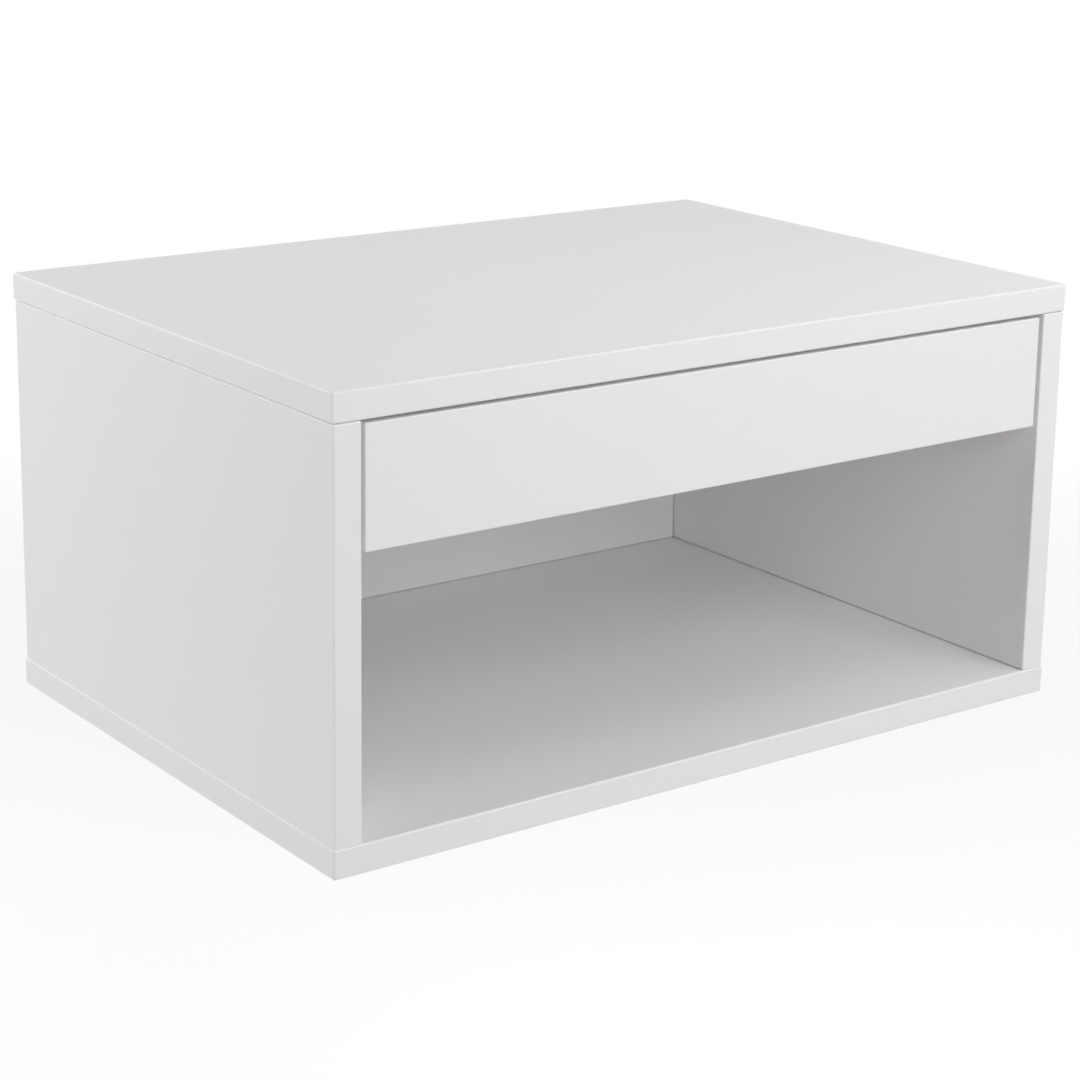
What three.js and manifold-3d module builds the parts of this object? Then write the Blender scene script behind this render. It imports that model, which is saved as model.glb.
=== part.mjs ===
// Floating nightstand with one inset drawer over an open shelf.
// Millimetres, +Z up, the front faces -Y, and the origin is under the middle of the bottom panel.

import * as THREE from 'three';
import { RoundedBoxGeometry } from 'three/addons/geometries/RoundedBoxGeometry.js';
import { mergeVertices } from 'three/addons/utils/BufferGeometryUtils.js';
import Module from 'manifold-3d';

const wasm = await Module();
wasm.setup();

// Cabinet
const width = 500;
const depth = 350;
const height = 250;
const boardThickness = 16;
const sideSetIn = 0.8;
const frontSetBack = 0.3;
const rearSetIn = 1;
const easeRadius = 1.5;
const easeSteps = 2;

// Clearances
const seat = 0.1;
const fit = 0.3;
const overrun = 1;

// Drawer front and box
const drawerTopGap = 2;
const drawerSideGap = 2.5;
const drawerSetBack = 0.8;
const drawerFrontHeight = 65;
const boxLift = 5;
const boxTopGap = 8;
const boxRearGap = 16.8;
const boxBoard = 12;
const boxEase = 1;
const drawerBottomThickness = 3;
const drawerBottomLift = 8;
const grooveDepth = 5;

// Runners
const runnerThickness = 10;
const runnerSetBack = 2;
const runnerRise = 15;
const railSheet = 1.2;
const railHalfHeight = 13.5;
const cabinetRailDepth = 8.4;
const railLip = 2.6;
const ballRadius = 1.6;
const ballPlay = 0.2;
const ballPitch = 11;
const ballsPerRow = 6;
const cageLength = 66;
const cageSheet = 0.7;
const cagePlay = 0.4;
const railScrewInset = 40;

// Screws of the rails and of the drawer front
const railScrew = {
  headRadius: 3.2,
  headHeight: 1.6,
  shankRadius: 1.7,
  inCabinet: 11,
  inDrawer: 9,
  tip: 2.5,
};
const frontScrew = {
  headRadius: 4,
  headHeight: 2.4,
  shankRadius: 2,
  inFront: 11,
  tip: 3,
  sideInset: 61,
};

// Cam joints between side panels and top
const cam = {
  radius: 7.5,
  depth: 12.5,
  drop: 24,
  endInset: 50,
  slotWidth: 1.6,
  slotLength: 9,
  slotDepth: 1.5,
};
const camBolt = {
  headRadius: 3,
  headHeight: 3,
  neckRadius: 1.8,
  neckLength: 4,
  threadRadius: 2.5,
  inTop: 10,
};

// Long screws through the bottom, with their caps
const floorScrew = {
  headRadius: 5,
  headHeight: 3,
  shankRadius: 3,
  length: 48,
  tip: 4,
  endInset: 50,
};
const floorSocket = {
  radius: 2.4,
  depth: 2.5,
};
const floorCap = {
  radius: 6,
  thickness: 1.6,
  bevel: 0.4,
  pinRadius: 1.6,
  pinLength: 2,
};

// Dowels
const dowel = {
  radius: 4,
  inShallow: 11,
  inDeep: 13,
  chamfer: 1,
};
const backDowelInset = 34;

// Keyhole hanger plates
const hanger = {
  sideInset: 53.2,
  drop: 34,
  plateWidth: 24,
  plateHeight: 56,
  plateThickness: 2,
  screwSpacing: 42,
};
const keyhole = {
  mouthRadius: 5.5,
  slotRadius: 2.7,
  mouthDrop: 8,
  slotRise: 6,
  pocketRadius: 7,
  pocketDepth: 8,
};
const hangerScrew = {
  headRadius: 3.4,
  headHeight: 1.7,
  shankRadius: 1.7,
  length: 12,
  tip: 2.5,
};

// Drive recess and head dome, as shares of the screw head
const recessReachShare = 0.62;
const recessWidthShare = 0.24;
const recessDepthShare = 0.6;
const domeTopShare = 0.7;
const domeRimShare = 0.4;

// Number of flats on round pieces
const roundSides = 16;
const smallSides = 12;
const socketSides = 6;
const ballSides = 8;
const ballRings = 5;

// Places that follow from the sizes
const frontY = -depth / 2;
const rearY = depth / 2;
const ceilingZ = height - boardThickness;
const sideFrontY = frontY + frontSetBack;
const sideRearY = rearY - rearSetIn;
const sideCentreX = width / 2 - sideSetIn - boardThickness / 2;
const innerX = sideCentreX - boardThickness / 2;
const backFaceY = rearY - boardThickness;
const backCentreY = rearY - boardThickness / 2;

const drawerFrontY = sideFrontY + drawerSetBack;
const drawerRearOfFrontY = drawerFrontY + boardThickness;
const drawerTopZ = ceilingZ - drawerTopGap;
const drawerLowZ = drawerTopZ - drawerFrontHeight;
const boxLowZ = drawerLowZ + boxLift;
const boxTopZ = ceilingZ - boxTopGap;
const boxHeight = boxTopZ - boxLowZ;
const boxCentreZ = boxLowZ + boxHeight / 2;
const boxFrontY = drawerRearOfFrontY + seat;
const boxRearY = backFaceY - boxRearGap;
const boxLength = boxRearY - boxFrontY;
const boxOuterX = innerX - runnerThickness - seat * 2;
const boxInnerX = boxOuterX - boxBoard;
const drawerBottomZ = boxLowZ + drawerBottomLift;

const runnerZ = boxLowZ + runnerRise;
const runnerLength = boxLength;
const runnerCentreY = boxFrontY + runnerSetBack + runnerLength / 2;
const railScrewSpacing = runnerLength - railScrewInset * 2;
const ballRow = railHalfHeight - railSheet - ballPlay - ballRadius;
const ballDepth = cabinetRailDepth - railSheet - ballPlay - ballRadius;
const cageFace = railSheet + seat + railScrew.headHeight + cagePlay;
const cageEnd = cabinetRailDepth - railSheet - fit;
const drawerRailHalfHeight = ballRow - ballRadius - ballPlay;
const drawerRailStart = cageFace + cageSheet + cagePlay;

const camZ = ceilingZ - cam.drop;
const camPlacesY = { front: sideFrontY + cam.endInset, rear: sideRearY - cam.endInset };
const floorScrewPlacesY = { front: sideFrontY + floorScrew.endInset, rear: sideRearY - floorScrew.endInset };
const floorScrewZ = floorCap.thickness + seat + fit;
const backDowelPlacesZ = { lower: boardThickness + backDowelInset, upper: ceilingZ - backDowelInset };
const hangerX = innerX - hanger.sideInset;
const hangerZ = ceilingZ - hanger.drop;
const hangerRecessDepth = hanger.plateThickness + seat * 2;
const hangerPlateY = rearY - seat - hanger.plateThickness / 2;
const frontScrewX = boxInnerX - frontScrew.sideInset;
const frontScrewZ = (drawerBottomZ + drawerBottomThickness + boxTopZ) / 2;

const sides = { left: -1, right: 1 };
const ends = { front: -1, rear: 1 };
const levels = { lower: -1, upper: 1 };

// Materials
const lacquer = new THREE.MeshStandardMaterial({ color: 0xededee, roughness: 0.28, metalness: 0 });
const birch = new THREE.MeshStandardMaterial({ color: 0xd9c19a, roughness: 0.5, metalness: 0 });
const liner = new THREE.MeshStandardMaterial({ color: 0xe4e2dc, roughness: 0.55, metalness: 0 });
const zinc = new THREE.MeshStandardMaterial({ color: 0xb9bcc0, roughness: 0.35, metalness: 1 });
const castZinc = new THREE.MeshStandardMaterial({ color: 0xa4a6a8, roughness: 0.5, metalness: 1 });
const beech = new THREE.MeshStandardMaterial({ color: 0xcfa877, roughness: 0.65, metalness: 0 });
const capPlastic = new THREE.MeshStandardMaterial({ color: 0xe9e9ea, roughness: 0.4, metalness: 0 });

// Points and solids
function at(x, y, z) {
  return new THREE.Vector3(x, y, z);
}

// A closed solid of a geometry: shared corners merged, empty triangles left out.
function toSolid(geometry) {
  const bare = geometry.clone();
  bare.deleteAttribute('normal');
  bare.deleteAttribute('uv');
  const merged = mergeVertices(bare);
  const corners = merged.index.array;
  const kept = [];
  for (let i = 0; i < corners.length; i += 3) {
    const [a, b, c] = corners.slice(i, i + 3);
    if (a !== b && b !== c && c !== a) kept.push(a, b, c);
  }
  return new wasm.Manifold(new wasm.Mesh({
    numProp: 3,
    vertProperties: new Float32Array(merged.attributes.position.array),
    triVerts: new Uint32Array(kept),
  }));
}

function toGeometry(solid) {
  const mesh = solid.getMesh();
  const geometry = new THREE.BufferGeometry();
  geometry.setAttribute('position', new THREE.BufferAttribute(new Float32Array(mesh.vertProperties), 3));
  geometry.setIndex(new THREE.BufferAttribute(new Uint32Array(mesh.triVerts), 1));
  const faceted = geometry.toNonIndexed();
  faceted.computeVertexNormals();
  return faceted;
}

// A blank round its own origin, cut by tools that stand where they cut when the blank is at its centre.
function carve(blank, centre, tools) {
  let solid = toSolid(blank);
  for (const tool of tools) {
    const local = tool.clone().translate(-centre.x, -centre.y, -centre.z);
    solid = solid.subtract(toSolid(local));
  }
  return toGeometry(solid);
}

// A board with all its edges eased.
function easedBoard(size, radius) {
  return new RoundedBoxGeometry(size.x, size.y, size.z, easeSteps, radius);
}

function block(low, high) {
  const size = high.clone().sub(low);
  const middle = low.clone().add(high).divideScalar(2);
  return new THREE.BoxGeometry(size.x, size.y, size.z).translate(middle.x, middle.y, middle.z);
}

// Turns a geometry that runs along +Y so that it runs along a direction from a point.
function aim(geometry, point, direction) {
  const turn = new THREE.Quaternion().setFromUnitVectors(at(0, 1, 0), direction);
  return geometry.applyQuaternion(turn).translate(point.x, point.y, point.z);
}

// A round cutting tool that opens at a mouth and runs to a depth.
function bore(mouth, direction, cutDepth, radius, sideCount = smallSides) {
  const length = cutDepth + overrun;
  const tool = new THREE.CylinderGeometry(radius, radius, length, sideCount);
  tool.translate(0, length / 2 - overrun, 0);
  return aim(tool, mouth, direction);
}

// A conical cutting tool for the head of a flat screw, as wide as the head and its clearance at the mouth.
function countersink(mouth, direction, screw) {
  const length = screw.headHeight + overrun;
  const slope = (screw.headRadius - screw.shankRadius) / screw.headHeight;
  const farRadius = screw.shankRadius + fit;
  const nearRadius = screw.headRadius + fit + overrun * slope;
  const tool = new THREE.CylinderGeometry(farRadius, nearRadius, length, smallSides);
  tool.translate(0, length / 2 - overrun, 0);
  return aim(tool, mouth, direction);
}

// A turned piece: its outline runs along +Y and starts and ends on the axis.
function turned(outline, sideCount) {
  const points = outline.map(([radius, along]) => new THREE.Vector2(radius, along));
  return new THREE.LatheGeometry(points, sideCount);
}

// A bar with a constant section: across in x, up in z, centred along y.
function sectionBar(section, length) {
  const shape = new THREE.Shape(section.map(([across, up]) => new THREE.Vector2(across, up)));
  const bar = new THREE.ExtrudeGeometry(shape, { depth: length, bevelEnabled: false });
  return bar.rotateX(Math.PI / 2).translate(0, length / 2, 0);
}

function makeMesh(name, geometry, material, position = at(0, 0, 0)) {
  const mesh = new THREE.Mesh(geometry, material);
  mesh.name = name;
  mesh.position.copy(position);
  return mesh;
}

// A fastener that runs along +Y in its own frame, placed at a point and pointing along a direction.
function fastener(name, geometry, material, point, direction) {
  const mesh = makeMesh(name, geometry, material, point);
  mesh.quaternion.setFromUnitVectors(at(0, 1, 0), direction);
  return mesh;
}

// A cross recess in a head whose outer face is at the given height, opening towards -Y.
function crossRecess(reach, slotWidth, faceAt, recessDepth) {
  const low = faceAt - overrun;
  const high = faceAt + recessDepth;
  const first = block(at(-reach, low, -slotWidth / 2), at(reach, high, slotWidth / 2));
  const second = block(at(-slotWidth / 2, low, -reach), at(slotWidth / 2, high, reach));
  return [first, second];
}

function headRecess(screw, faceAt) {
  const reach = screw.headRadius * recessReachShare;
  const slotWidth = screw.headRadius * recessWidthShare * 2;
  return crossRecess(reach, slotWidth, faceAt, screw.headHeight * recessDepthShare);
}

// A pan-head screw: the underside of its head is at the origin.
function panScrew(screw, length) {
  const outline = [
    [0, -screw.headHeight],
    [screw.headRadius * domeTopShare, -screw.headHeight],
    [screw.headRadius, -screw.headHeight * domeRimShare],
    [screw.headRadius, 0],
    [screw.shankRadius, 0],
    [screw.shankRadius, length - screw.tip],
    [0, length],
  ];
  return carve(turned(outline, smallSides), at(0, 0, 0), headRecess(screw, -screw.headHeight));
}

// A countersunk screw: the face of its head is at the origin.
function flatScrew(screw) {
  const outline = [
    [0, 0],
    [screw.headRadius, 0],
    [screw.shankRadius, screw.headHeight],
    [screw.shankRadius, screw.length - screw.tip],
    [0, screw.length],
  ];
  return carve(turned(outline, smallSides), at(0, 0, 0), headRecess(screw, 0));
}

// Places where dowels and screws go, used for the holes and for the pieces alike
function dowelSpots(side) {
  const x = sides[side] * sideCentreX;
  const back = Object.entries(backDowelPlacesZ).map(([level, z]) => ({
    name: `${side}_${level}_back_dowel`,
    face: at(sides[side] * innerX, backCentreY, z),
    into: at(sides[side], 0, 0),
  }));
  return {
    top: { name: `${side}_top_dowel`, face: at(x, 0, ceilingZ), into: at(0, 0, 1) },
    bottom: { name: `${side}_bottom_dowel`, face: at(x, 0, boardThickness), into: at(0, 0, -1) },
    back,
  };
}

// Both halves of a dowel hole: shallow in the board whose face is drilled, deep in the board that ends there.
function dowelHoles(spot) {
  const back = spot.into.clone().negate();
  return {
    shallow: bore(spot.face, spot.into, dowel.inShallow + fit, dowel.radius + fit),
    deep: bore(spot.face, back, dowel.inDeep + fit, dowel.radius + fit),
  };
}

// Where each rail's screws stand, from the front of the rail to its rear
function railScrewY(end) {
  return runnerCentreY + ends[end] * railScrewSpacing / 2;
}

// Holes in the top panel
function topPanel() {
  const size = at(width, depth, boardThickness);
  const centre = at(0, 0, height - boardThickness / 2);
  const tools = [];
  for (const side of Object.keys(sides)) {
    const x = sides[side] * sideCentreX;
    for (const y of Object.values(camPlacesY)) {
      tools.push(bore(at(x, y, ceilingZ), at(0, 0, 1), camBolt.inTop + fit, camBolt.threadRadius + fit));
    }
    tools.push(dowelHoles(dowelSpots(side).top).shallow);
  }
  return makeMesh('top_panel', carve(easedBoard(size, easeRadius), centre, tools), lacquer, centre);
}

// Holes in the bottom panel: each long screw has a cap recess, a head seat and a through hole.
function bottomPanel() {
  const size = at(width, depth, boardThickness);
  const centre = at(0, 0, boardThickness / 2);
  const up = at(0, 0, 1);
  const tools = [];
  for (const side of Object.keys(sides)) {
    const x = sides[side] * sideCentreX;
    for (const y of Object.values(floorScrewPlacesY)) {
      const mouth = at(x, y, 0);
      const headDepth = floorScrewZ + floorScrew.headHeight + seat;
      tools.push(bore(mouth, up, floorScrewZ, floorCap.radius + fit, roundSides));
      tools.push(bore(mouth, up, headDepth, floorScrew.headRadius + fit));
      tools.push(bore(mouth, up, boardThickness + overrun, floorScrew.shankRadius + fit));
    }
    tools.push(dowelHoles(dowelSpots(side).bottom).shallow);
  }
  return makeMesh('bottom_panel', carve(easedBoard(size, easeRadius), centre, tools), lacquer, centre);
}

// A side panel stands between the top and the bottom.
function sidePanel(side) {
  const sign = sides[side];
  const size = at(boardThickness, sideRearY - sideFrontY, height - boardThickness * 2 - seat * 2);
  const centre = at(sign * sideCentreX, (sideFrontY + sideRearY) / 2, height / 2);
  const outward = at(sign, 0, 0);
  const tools = [];
  for (const y of Object.values(camPlacesY)) {
    const boltRadius = camBolt.headRadius + fit;
    tools.push(bore(at(sign * innerX, y, camZ), outward, cam.depth + fit, cam.radius + fit));
    tools.push(bore(at(sign * sideCentreX, y, ceilingZ), at(0, 0, -1), cam.drop, boltRadius));
  }
  for (const y of Object.values(floorScrewPlacesY)) {
    const reach = floorScrewZ + floorScrew.length - boardThickness + fit;
    const mouth = at(sign * sideCentreX, y, boardThickness);
    tools.push(bore(mouth, at(0, 0, 1), reach, floorScrew.shankRadius + fit));
  }
  for (const end of Object.keys(ends)) {
    const mouth = at(sign * innerX, railScrewY(end), runnerZ);
    tools.push(bore(mouth, outward, railScrew.inCabinet + fit, railScrew.shankRadius + fit));
  }
  const spots = dowelSpots(side);
  tools.push(dowelHoles(spots.top).deep, dowelHoles(spots.bottom).deep);
  for (const spot of spots.back) tools.push(dowelHoles(spot).shallow);
  return makeMesh(`${side}_side_panel`, carve(easedBoard(size, easeRadius), centre, tools), lacquer, centre);
}

// A keyhole for a screw head: a round mouth, and a slot that rises from it to a round end.
function keyholeTools(x, mouthRadius, slotRadius, fromY, cutDepth) {
  const forward = at(0, -1, 0);
  const mouthZ = hangerZ - keyhole.mouthDrop;
  const slotEndZ = hangerZ + keyhole.slotRise;
  const low = at(x - slotRadius, fromY - cutDepth, mouthZ);
  const high = at(x + slotRadius, fromY + overrun, slotEndZ);
  return [
    bore(at(x, fromY, mouthZ), forward, cutDepth, mouthRadius, roundSides),
    bore(at(x, fromY, slotEndZ), forward, cutDepth, slotRadius, roundSides),
    block(low, high),
  ];
}

// The back panel fills the space between the side panels and is flush with the rear.
function backPanel() {
  const size = at((innerX - seat) * 2, boardThickness, height - boardThickness * 2 - seat * 2);
  const centre = at(0, backCentreY, height / 2);
  const forward = at(0, -1, 0);
  const tools = [];
  for (const side of Object.keys(sides)) {
    for (const spot of dowelSpots(side).back) tools.push(dowelHoles(spot).deep);
    const x = sides[side] * hangerX;
    const halfWidth = hanger.plateWidth / 2 + fit;
    const halfHeight = hanger.plateHeight / 2 + fit;
    const low = at(x - halfWidth, rearY - hangerRecessDepth, hangerZ - halfHeight);
    const high = at(x + halfWidth, rearY + overrun, hangerZ + halfHeight);
    tools.push(block(low, high));
    const pocketReach = hangerRecessDepth + keyhole.pocketDepth;
    tools.push(...keyholeTools(x, keyhole.pocketRadius, keyhole.pocketRadius, rearY, pocketReach));
    for (const sign of Object.values(levels)) {
      const mouth = at(x, rearY, hangerZ + sign * hanger.screwSpacing / 2);
      tools.push(bore(mouth, forward, hangerScrew.length + seat + fit, hangerScrew.shankRadius + fit));
    }
  }
  return makeMesh('back_panel', carve(easedBoard(size, easeRadius), centre, tools), lacquer, centre);
}

// The top joint: the cam lies in the side panel and grips the head of a bolt that hangs from the top.
function camLock() {
  const outline = [
    [0, 0],
    [cam.radius, 0],
    [cam.radius, cam.depth],
    [0, cam.depth],
  ];
  const mouth = at(0, boardThickness / 2, cam.radius);
  const reach = cam.radius + camBolt.headHeight;
  const boltWay = bore(mouth, at(0, 0, -1), reach, camBolt.headRadius + fit);
  const recess = crossRecess(cam.slotLength / 2, cam.slotWidth, 0, cam.slotDepth);
  return carve(turned(outline, roundSides), at(0, 0, 0), [boltWay, ...recess]);
}

function camBoltGeometry() {
  const shoulder = cam.drop - seat;
  const neckEnd = camBolt.headHeight / 2 + camBolt.neckLength;
  const outline = [
    [0, -camBolt.headHeight / 2],
    [camBolt.headRadius, -camBolt.headHeight / 2],
    [camBolt.headRadius, camBolt.headHeight / 2],
    [camBolt.neckRadius, camBolt.headHeight / 2],
    [camBolt.neckRadius, neckEnd],
    [camBolt.headRadius, neckEnd],
    [camBolt.headRadius, shoulder],
    [camBolt.threadRadius, shoulder],
    [camBolt.threadRadius, cam.drop + camBolt.inTop],
    [0, cam.drop + camBolt.inTop],
  ];
  return turned(outline, smallSides);
}

function topJoints(side) {
  const group = new THREE.Group();
  const sign = sides[side];
  const lockGeometry = camLock();
  const boltGeometry = camBoltGeometry();
  for (const [end, y] of Object.entries(camPlacesY)) {
    const lockAt = at(sign * innerX, y, camZ);
    const boltAt = at(sign * sideCentreX, y, camZ);
    group.add(fastener(`${side}_${end}_cam_lock`, lockGeometry, castZinc, lockAt, at(sign, 0, 0)));
    const bolt = makeMesh(`${side}_${end}_cam_bolt`, boltGeometry, zinc, boltAt);
    bolt.rotation.x = Math.PI / 2;
    group.add(bolt);
  }
  return group;
}

// Bottom joint: a long screw with a hexagon socket, and the cap that covers it.
function floorScrewGeometry() {
  const outline = [
    [0, 0],
    [floorScrew.headRadius, 0],
    [floorScrew.headRadius, floorScrew.headHeight],
    [floorScrew.shankRadius, floorScrew.headHeight],
    [floorScrew.shankRadius, floorScrew.length - floorScrew.tip],
    [0, floorScrew.length],
  ];
  const socket = bore(at(0, 0, 0), at(0, 1, 0), floorSocket.depth, floorSocket.radius, socketSides);
  return carve(turned(outline, smallSides), at(0, 0, 0), [socket]);
}

function floorCapGeometry() {
  const outline = [
    [0, 0],
    [floorCap.radius - floorCap.bevel, 0],
    [floorCap.radius, floorCap.bevel],
    [floorCap.radius, floorCap.thickness],
    [floorCap.pinRadius, floorCap.thickness],
    [floorCap.pinRadius, floorCap.thickness + floorCap.pinLength],
    [0, floorCap.thickness + floorCap.pinLength],
  ];
  return turned(outline, roundSides);
}

function bottomJoints(side) {
  const group = new THREE.Group();
  const up = at(0, 0, 1);
  const screwGeometry = floorScrewGeometry();
  const capGeometry = floorCapGeometry();
  for (const [end, y] of Object.entries(floorScrewPlacesY)) {
    const x = sides[side] * sideCentreX;
    group.add(fastener(`${side}_${end}_floor_screw`, screwGeometry, zinc, at(x, y, floorScrewZ), up));
    group.add(fastener(`${side}_${end}_floor_cap`, capGeometry, capPlastic, at(x, y, seat), up));
  }
  return group;
}

function dowels(side) {
  const group = new THREE.Group();
  const length = dowel.inShallow + dowel.inDeep;
  const outline = [
    [0, 0],
    [dowel.radius - dowel.chamfer, 0],
    [dowel.radius, dowel.chamfer],
    [dowel.radius, length - dowel.chamfer],
    [dowel.radius - dowel.chamfer, length],
    [0, length],
  ];
  const geometry = turned(outline, smallSides);
  const spots = dowelSpots(side);
  for (const spot of [spots.top, spots.bottom, ...spots.back]) {
    const start = spot.face.clone().addScaledVector(spot.into, -dowel.inDeep);
    group.add(fastener(spot.name, geometry, beech, start, spot.into));
  }
  return group;
}

// A keyhole plate let into the back panel, which drops over a screw in the wall
function hangerPlate(side) {
  const group = new THREE.Group();
  const x = sides[side] * hangerX;
  const centre = at(x, hangerPlateY, hangerZ);
  const outerY = hangerPlateY + hanger.plateThickness / 2;
  const forward = at(0, -1, 0);
  const blank = new THREE.BoxGeometry(hanger.plateWidth, hanger.plateThickness, hanger.plateHeight);
  const through = hanger.plateThickness + overrun;
  const tools = keyholeTools(x, keyhole.mouthRadius, keyhole.slotRadius, outerY, through);
  const screwGeometry = flatScrew(hangerScrew);
  for (const [level, sign] of Object.entries(levels)) {
    const spot = at(x, outerY, hangerZ + sign * hanger.screwSpacing / 2);
    tools.push(bore(spot, forward, through, hangerScrew.shankRadius + fit));
    tools.push(countersink(spot, forward, hangerScrew));
    group.add(fastener(`${side}_${level}_hanger_screw`, screwGeometry, zinc, spot, forward));
  }
  group.add(makeMesh(`${side}_hanger_plate`, carve(blank, centre, tools), zinc, centre));
  return group;
}

// Holes in the web of a rail, at both of its screws
function railHoles(fromX) {
  const tools = [];
  for (const sign of Object.values(ends)) {
    const mouth = at(fromX, sign * railScrewSpacing / 2, 0);
    tools.push(bore(mouth, at(1, 0, 0), railSheet + overrun, railScrew.shankRadius + fit));
  }
  return tools;
}

// The cabinet rail is a channel with lips that keep the balls in. Across is measured from the side panel.
function cabinetRailGeometry() {
  const half = railHalfHeight;
  const deep = cabinetRailDepth;
  const sheet = railSheet;
  const section = [
    [0, -half],
    [deep, -half],
    [deep, railLip - half],
    [deep - sheet, railLip - half],
    [deep - sheet, sheet - half],
    [sheet, sheet - half],
    [sheet, half - sheet],
    [deep - sheet, half - sheet],
    [deep - sheet, half - railLip],
    [deep, half - railLip],
    [deep, half],
    [0, half],
  ];
  return carve(sectionBar(section, runnerLength), at(0, 0, 0), railHoles(0));
}

// The drawer rail is a smaller channel that opens towards the cabinet rail and runs between the balls.
function drawerRailGeometry() {
  const half = drawerRailHalfHeight;
  const web = runnerThickness - railSheet;
  const section = [
    [runnerThickness, -half],
    [runnerThickness, half],
    [drawerRailStart, half],
    [drawerRailStart, half - railSheet],
    [web, half - railSheet],
    [web, railSheet - half],
    [drawerRailStart, railSheet - half],
    [drawerRailStart, -half],
  ];
  return carve(sectionBar(section, runnerLength), at(0, 0, 0), railHoles(web));
}

// The ball cage: a bent strip with two rows of balls held in it.
function ballCageGeometry() {
  const half = ballRow + cageSheet / 2;
  const section = [
    [cageFace, -half],
    [cageEnd, -half],
    [cageEnd, cageSheet - half],
    [cageFace + cageSheet, cageSheet - half],
    [cageFace + cageSheet, half - cageSheet],
    [cageEnd, half - cageSheet],
    [cageEnd, half],
    [cageFace, half],
  ];
  let cage = toSolid(sectionBar(section, cageLength));
  const firstY = -ballPitch * (ballsPerRow - 1) / 2;
  for (const z of [-ballRow, ballRow]) {
    for (let i = 0; i < ballsPerRow; i += 1) {
      const ball = new THREE.SphereGeometry(ballRadius, ballSides, ballRings);
      ball.translate(ballDepth, firstY + ballPitch * i, z);
      cage = cage.add(toSolid(ball));
    }
  }
  return toGeometry(cage);
}

// A group that stands at a side panel's inner face, with its own +x pointing into the cabinet
function runnerFrame(side) {
  const frame = new THREE.Group();
  frame.position.set(sides[side] * (innerX - seat), runnerCentreY, runnerZ);
  frame.rotation.z = sides[side] > 0 ? Math.PI : 0;
  return frame;
}

// Places along the rail in that group, which is turned end for end on the right
function alongRail(side, end) {
  return -sides[side] * ends[end] * railScrewSpacing / 2;
}

function cabinetRail(side) {
  const frame = runnerFrame(side);
  frame.add(makeMesh(`${side}_cabinet_rail`, cabinetRailGeometry(), zinc));
  const screwGeometry = panScrew(railScrew, railSheet + seat * 2 + railScrew.inCabinet);
  for (const end of Object.keys(ends)) {
    const head = at(railSheet + seat, alongRail(side, end), 0);
    frame.add(fastener(`${side}_${end}_cabinet_rail_screw`, screwGeometry, zinc, head, at(-1, 0, 0)));
  }
  return frame;
}

function drawerRail(side) {
  const frame = runnerFrame(side);
  frame.add(makeMesh(`${side}_drawer_rail`, drawerRailGeometry(), zinc));
  const screwGeometry = panScrew(railScrew, railSheet + seat * 2 + railScrew.inDrawer);
  for (const end of Object.keys(ends)) {
    const head = at(runnerThickness - railSheet - seat, alongRail(side, end), 0);
    frame.add(fastener(`${side}_${end}_drawer_rail_screw`, screwGeometry, zinc, head, at(1, 0, 0)));
  }
  return frame;
}

function ballCage(side) {
  const frame = runnerFrame(side);
  frame.add(makeMesh(`${side}_ball_cage`, ballCageGeometry(), castZinc));
  return frame;
}

// The inset front covers the drawer box and hangs below it, which gives the hand its grip.
function drawerFront() {
  const size = at((innerX - drawerSideGap) * 2, boardThickness, drawerFrontHeight);
  const centre = at(0, drawerFrontY + boardThickness / 2, drawerLowZ + drawerFrontHeight / 2);
  const tools = [];
  for (const sign of Object.values(sides)) {
    const mouth = at(sign * frontScrewX, drawerRearOfFrontY, frontScrewZ);
    tools.push(bore(mouth, at(0, -1, 0), frontScrew.inFront + fit, frontScrew.shankRadius + fit));
  }
  return makeMesh('drawer_front', carve(easedBoard(size, easeRadius), centre, tools), lacquer, centre);
}

// The groove that holds the drawer bottom, cut by one block as large as the bottom and its clearance
function bottomGroove() {
  const reachX = boxInnerX + grooveDepth;
  const low = at(-reachX, boxFrontY + boxBoard - grooveDepth, drawerBottomZ - fit);
  const high = at(reachX, boxRearY - boxBoard + grooveDepth, drawerBottomZ + drawerBottomThickness + fit);
  return block(low, high);
}

function drawerSide(side) {
  const sign = sides[side];
  const size = at(boxBoard, boxLength, boxHeight);
  const centre = at(sign * (boxOuterX - boxBoard / 2), (boxFrontY + boxRearY) / 2, boxCentreZ);
  const tools = [bottomGroove()];
  for (const end of Object.keys(ends)) {
    const mouth = at(sign * boxOuterX, railScrewY(end), runnerZ);
    tools.push(bore(mouth, at(-sign, 0, 0), railScrew.inDrawer + fit, railScrew.shankRadius + fit));
  }
  return makeMesh(`drawer_${side}_side`, carve(easedBoard(size, boxEase), centre, tools), birch, centre);
}

function drawerInnerFront() {
  const size = at((boxInnerX - seat) * 2, boxBoard, boxHeight);
  const centre = at(0, boxFrontY + boxBoard / 2, boxCentreZ);
  const tools = [bottomGroove()];
  for (const sign of Object.values(sides)) {
    const mouth = at(sign * frontScrewX, boxFrontY + boxBoard, frontScrewZ);
    tools.push(bore(mouth, at(0, -1, 0), boxBoard + overrun, frontScrew.shankRadius + fit));
  }
  return makeMesh('drawer_inner_front', carve(easedBoard(size, boxEase), centre, tools), birch, centre);
}

function drawerBack() {
  const size = at((boxInnerX - seat) * 2, boxBoard, boxHeight);
  const centre = at(0, boxRearY - boxBoard / 2, boxCentreZ);
  return makeMesh('drawer_back', carve(easedBoard(size, boxEase), centre, [bottomGroove()]), birch, centre);
}

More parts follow.
